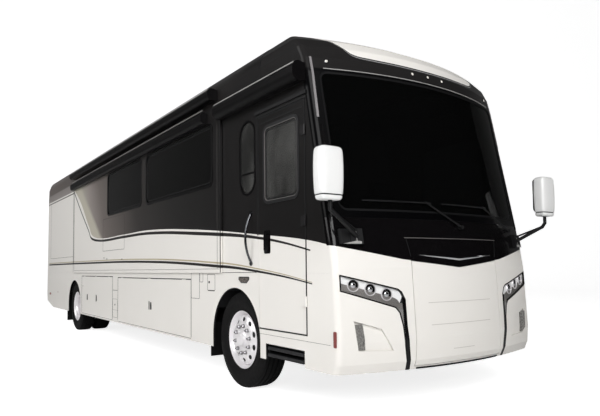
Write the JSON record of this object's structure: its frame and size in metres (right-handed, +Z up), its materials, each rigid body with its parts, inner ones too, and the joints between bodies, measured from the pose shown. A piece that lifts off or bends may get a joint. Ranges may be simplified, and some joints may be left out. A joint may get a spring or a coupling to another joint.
{
  "type": "motorhome",
  "caption": "Full-length integral motorhome on a rear-engined bus chassis, with steered front wheels, twin rear wheels, slide-out rooms, luggage bays and an entry door.",
  "frame": {"origin": "on the ground, under the centre of the overall box", "axes": "+X forward, +Y to the vehicle's left, +Z up"},
  "size_m": [11.8997, 3.149, 3.7359],
  "materials": {
    "body_paint": "gloss",
    "dark_paint": "gloss",
    "white_moulding": "gloss",
    "black_plastic": "satin",
    "awning_cover": "satin",
    "glass": "gloss",
    "lamp_clear": "gloss",
    "lamp_red": "gloss",
    "polished_alloy": "polished",
    "tyre_rubber": "matt",
    "chassis_steel": "satin",
    "cast_metal": "matt",
    "step_metal": "satin",
    "rubber": "matt",
    "floor_board": "satin",
    "seat_cover": "satin"
  },
  "bodies": {
    "coach": {"awnings": "awning_cover", "bay_trays": "black_plastic", "cab_glass": "glass", "cab_seats": "seat_cover", "chassis_frame": "chassis_steel", "dashboard": "black_plastic", "entry_stairs": "floor_board", "exhaust": "chassis_steel", "floor": "floor_board", "front_axle": "chassis_steel", "front_band": "dark_paint", "front_cap": "body_paint", "fuel_tank": "black_plastic", "grab_handle": "step_metal", "headlamps": "lamp_clear", "mirror_arms": "black_plastic", "mirror_heads": "white_moulding", "mud_flaps": "rubber", "powertrain": "cast_metal", "rear_axle": "chassis_steel", "rear_cap": "body_paint", "roof": "white_moulding", "roof_units": "white_moulding", "side_wall_left": "body_paint", "side_wall_right": "body_paint", "skirt_left": "body_paint", "skirt_right": "body_paint", "steering_wheel": "black_plastic", "step_case": "black_plastic", "tail_lamps": "lamp_red", "wheel_housings": "chassis_steel", "windscreen": "glass", "windscreen_surround": "white_moulding", "wipers": "black_plastic"},
    "knuckle_right": {"knuckle_right": "cast_metal"},
    "front_wheel_right": {"front_wheel_right": "polished_alloy", "front_tyre_right": "tyre_rubber"},
    "rear_wheels_right": {"rear_wheels_right": "polished_alloy", "rear_tyres_right": "tyre_rubber"},
    "slide_out_right": {"slide_room_right": "body_paint", "slide_glass_right": "glass", "slide_topper_right": "awning_cover"},
    "bay_door_right_rear": {"bay_door_right_rear": "body_paint"},
    "bay_door_right_front": {"bay_door_right_front": "body_paint"},
    "knuckle_left": {"knuckle_left": "cast_metal"},
    "front_wheel_left": {"front_wheel_left": "polished_alloy", "front_tyre_left": "tyre_rubber"},
    "rear_wheels_left": {"rear_wheels_left": "polished_alloy", "rear_tyres_left": "tyre_rubber"},
    "slide_out_left": {"slide_room_left": "body_paint", "slide_glass_left": "glass", "slide_topper_left": "awning_cover"},
    "bay_door_left_rear": {"bay_door_left_rear": "body_paint"},
    "bay_door_left_front": {"bay_door_left_front": "body_paint"},
    "tie_rod": {"tie_rod": "chassis_steel"},
    "entry_door": {"entry_door": "body_paint", "entry_door_glass": "glass"},
    "front_hood": {"front_hood": "body_paint"},
    "engine_door": {"engine_door": "body_paint"},
    "entry_step": {"step_treads": "step_metal"}
  },
  "joints": [
    {"name": "steer_left", "type": "hinge", "parent": "coach", "child": "knuckle_left", "pos_m": [4.09, 0.9505, 0.495], "axis": [0, 0, 1], "range_deg": [-45, 45]},
    {"name": "front_spin_left", "type": "hinge", "parent": "knuckle_left", "child": "front_wheel_left", "pos_m": [4.09, 1.1105, 0.495], "axis": [0, 1, 0], "continuous": true},
    {"name": "rear_spin_left", "type": "hinge", "parent": "coach", "child": "rear_wheels_left", "pos_m": [-2.92, 1.1105, 0.495], "axis": [0, 1, 0], "continuous": true},
    {"name": "steer_right", "type": "hinge", "parent": "coach", "child": "knuckle_right", "pos_m": [4.09, -0.9505, 0.495], "axis": [0, 0, 1], "range_deg": [-45, 45]},
    {"name": "front_spin_right", "type": "hinge", "parent": "knuckle_right", "child": "front_wheel_right", "pos_m": [4.09, -1.1105, 0.495], "axis": [0, 1, 0], "continuous": true},
    {"name": "rear_spin_right", "type": "hinge", "parent": "coach", "child": "rear_wheels_right", "pos_m": [-2.92, -1.1105, 0.495], "axis": [0, 1, 0], "continuous": true},
    {"name": "tie_rod_turn", "type": "hinge", "parent": "knuckle_left", "child": "tie_rod", "pos_m": [3.9, 0.9505, 0.37], "axis": [0, 0, 1], "range_deg": [-45, 45]},
    {"name": "entry_door_swing", "type": "hinge", "parent": "coach", "child": "entry_door", "pos_m": [5.333, -1.3, 1.7], "axis": [0, 0, 1], "range_deg": [0, 95]},
    {"name": "slide_out_right_run", "type": "slide", "parent": "coach", "child": "slide_out_right", "axis": [0, -1, 0], "range_m": [0, 0.65]},
    {"name": "bay_right_rear_swing", "type": "hinge", "parent": "coach", "child": "bay_door_right_rear", "pos_m": [-1.29, -1.29, 1.121], "axis": [-1, 0, 0], "range_deg": [0, 88]},
    {"name": "bay_right_front_swing", "type": "hinge", "parent": "coach", "child": "bay_door_right_front", "pos_m": [1.4825, -1.29, 1.108], "axis": [-1, 0, 0], "range_deg": [0, 88]},
    {"name": "slide_out_left_run", "type": "slide", "parent": "coach", "child": "slide_out_left", "axis": [0, 1, 0], "range_m": [0, 0.65]},
    {"name": "bay_left_rear_swing", "type": "hinge", "parent": "coach", "child": "bay_door_left_rear", "pos_m": [-1.29, 1.29, 1.121], "axis": [1, 0, 0], "range_deg": [0, 88]},
    {"name": "bay_left_front_swing", "type": "hinge", "parent": "coach", "child": "bay_door_left_front", "pos_m": [1.4825, 1.29, 1.108], "axis": [1, 0, 0], "range_deg": [0, 88]},
    {"name": "front_hood_swing", "type": "hinge", "parent": "coach", "child": "front_hood", "pos_m": [5.935, 0, 1.3], "axis": [0, -1, 0], "range_deg": [0, 75]},
    {"name": "engine_door_swing", "type": "hinge", "parent": "coach", "child": "engine_door", "pos_m": [-5.93, 0, 1.517], "axis": [0, 1, 0], "range_deg": [0, 80]},
    {"name": "entry_step_run", "type": "slide", "parent": "coach", "child": "entry_step", "axis": [0, -1, 0], "range_m": [0, 0.26]}
  ],
  "couplings": [
    {"joint": "steer_right", "follows": "steer_left", "ratio": 1},
    {"joint": "tie_rod_turn", "follows": "steer_left", "ratio": -1}
  ]
}
